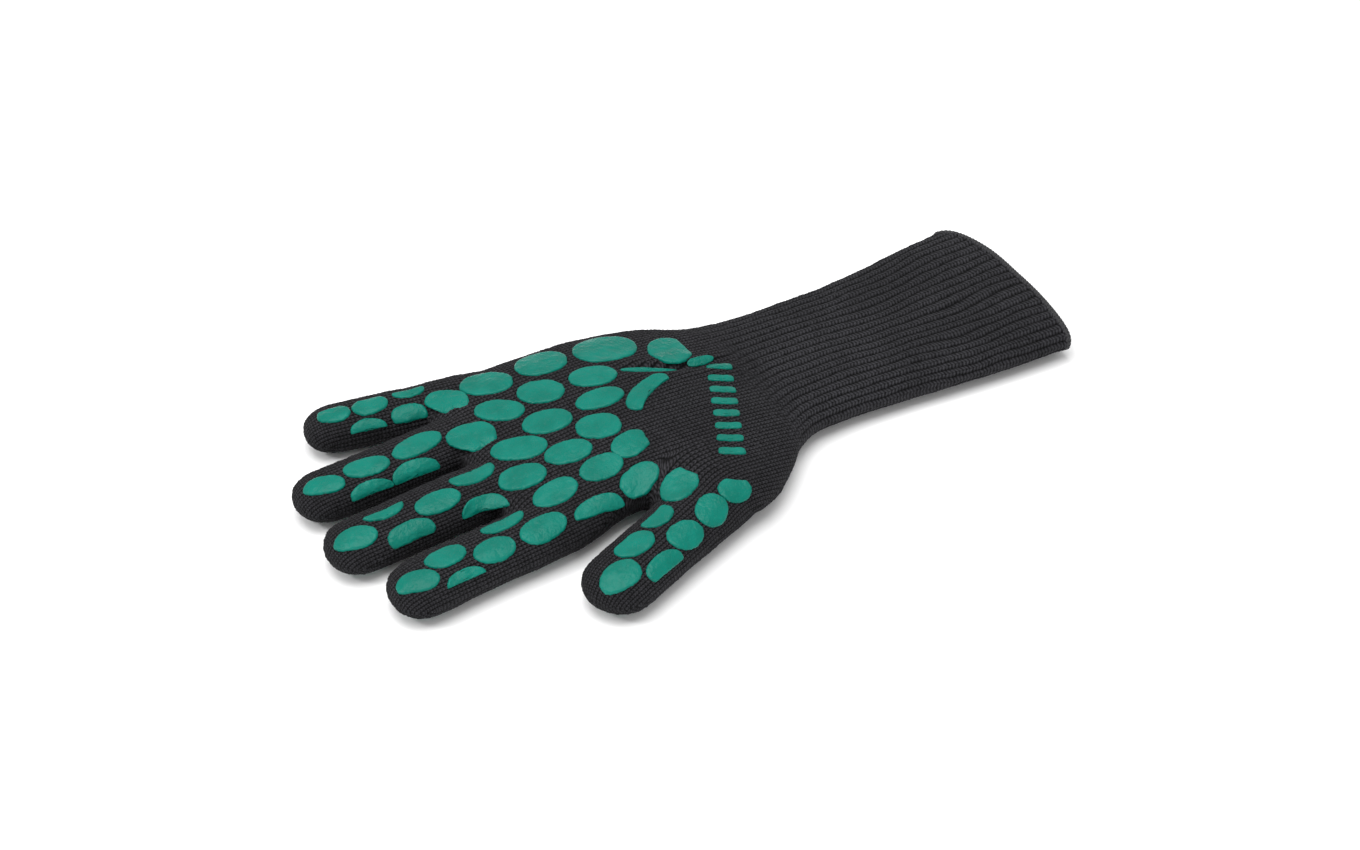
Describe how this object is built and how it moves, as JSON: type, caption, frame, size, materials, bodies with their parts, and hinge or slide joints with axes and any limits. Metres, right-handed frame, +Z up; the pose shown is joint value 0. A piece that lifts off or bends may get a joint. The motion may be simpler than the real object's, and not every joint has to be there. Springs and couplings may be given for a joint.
{
  "type": "heat resistant glove",
  "caption": "Long-cuffed knitted heat resistant glove lying flat, palm up, with raised silicone grip dots and bars on both faces, a soft lining and fingers, thumb and wrist that bend.",
  "frame": {"origin": "on the ground plane, at the middle of the glove's footprint", "axes": "+X from the fingers towards the cuff's mouth, +Y from the thumb's side to the little finger's side, +Z up out of the palm"},
  "size_m": [0.346, 0.1732, 0.026],
  "materials": {
    "knit": "matt knitted yarn",
    "lining": "soft brushed cotton",
    "hem": "overlocked yarn",
    "silicone": "glossy printed silicone"
  },
  "bodies": {
    "hand": {"shell_hand": "knit", "liner_hand": "lining", "grip_palm_hand": "silicone", "grip_back_hand": "silicone", "grip_bars_palm": "silicone", "grip_bars_back": "silicone"},
    "cuff": {"shell_cuff": "knit", "liner_cuff": "lining", "cuff_hem": "hem"},
    "index_base": {"shell_index_base": "knit", "liner_index_base": "lining", "grip_palm_index_base": "silicone", "grip_back_index_base": "silicone"},
    "index_tip": {"shell_index_tip": "knit", "liner_index_tip": "lining", "grip_palm_index_tip": "silicone", "grip_back_index_tip": "silicone"},
    "middle_base": {"shell_middle_base": "knit", "liner_middle_base": "lining", "grip_palm_middle_base": "silicone", "grip_back_middle_base": "silicone"},
    "middle_tip": {"shell_middle_tip": "knit", "liner_middle_tip": "lining", "grip_palm_middle_tip": "silicone", "grip_back_middle_tip": "silicone"},
    "ring_base": {"shell_ring_base": "knit", "liner_ring_base": "lining", "grip_palm_ring_base": "silicone", "grip_back_ring_base": "silicone"},
    "ring_tip": {"shell_ring_tip": "knit", "liner_ring_tip": "lining", "grip_palm_ring_tip": "silicone", "grip_back_ring_tip": "silicone"},
    "little_base": {"shell_little_base": "knit", "liner_little_base": "lining", "grip_palm_little_base": "silicone", "grip_back_little_base": "silicone"},
    "little_tip": {"shell_little_tip": "knit", "liner_little_tip": "lining", "grip_palm_little_tip": "silicone", "grip_back_little_tip": "silicone"},
    "thumb_base": {"shell_thumb_base": "knit", "liner_thumb_base": "lining", "grip_palm_thumb_base": "silicone", "grip_back_thumb_base": "silicone"},
    "thumb_tip": {"shell_thumb_tip": "knit", "liner_thumb_tip": "lining", "grip_palm_thumb_tip": "silicone", "grip_back_thumb_tip": "silicone"}
  },
  "joints": [
    {"name": "wrist", "type": "hinge", "parent": "hand", "child": "cuff", "pos_m": [0.043, 0.01067, 0.01975], "axis": [0, -1, 0], "range_deg": [0, 45]},
    {"name": "index_knuckle", "type": "hinge", "parent": "hand", "child": "index_base", "pos_m": [-0.10795, -0.03167, 0.01915], "axis": [-0.0756, 0.9971, 0], "range_deg": [0, 75]},
    {"name": "index_middle", "type": "hinge", "parent": "index_base", "child": "index_tip", "pos_m": [-0.13387, -0.03363, 0.01915], "axis": [-0.0756, 0.9971, 0], "range_deg": [0, 80]},
    {"name": "middle_knuckle", "type": "hinge", "parent": "hand", "child": "middle_base", "pos_m": [-0.10796, 0.00365, 0.01915], "axis": [-0.0642, 0.9979, 0], "range_deg": [0, 75]},
    {"name": "middle_middle", "type": "hinge", "parent": "middle_base", "child": "middle_tip", "pos_m": [-0.1369, 0.00179, 0.01915], "axis": [-0.0642, 0.9979, 0], "range_deg": [0, 80]},
    {"name": "ring_knuckle", "type": "hinge", "parent": "hand", "child": "ring_base", "pos_m": [-0.10799, 0.03707, 0.01915], "axis": [-0.0317, 0.9995, 0], "range_deg": [0, 75]},
    {"name": "ring_middle", "type": "hinge", "parent": "ring_base", "child": "ring_tip", "pos_m": [-0.13598, 0.03618, 0.01915], "axis": [-0.0317, 0.9995, 0], "range_deg": [0, 80]},
    {"name": "little_knuckle", "type": "hinge", "parent": "hand", "child": "little_base", "pos_m": [-0.10262, 0.06754, 0.01835], "axis": [0.189, 0.982, 0], "range_deg": [0, 75]},
    {"name": "little_middle", "type": "hinge", "parent": "little_base", "child": "little_tip", "pos_m": [-0.12472, 0.07179, 0.01835], "axis": [0.189, 0.982, 0], "range_deg": [0, 80]},
    {"name": "thumb_knuckle", "type": "hinge", "parent": "hand", "child": "thumb_base", "pos_m": [-0.03859, -0.05624, 0.02015], "axis": [-0.3748, 0.9271, 0], "range_deg": [0, 45]},
    {"name": "thumb_middle", "type": "hinge", "parent": "thumb_base", "child": "thumb_tip", "pos_m": [-0.06315, -0.06617, 0.02015], "axis": [-0.3748, 0.9271, 0], "range_deg": [0, 60]}
  ]
}
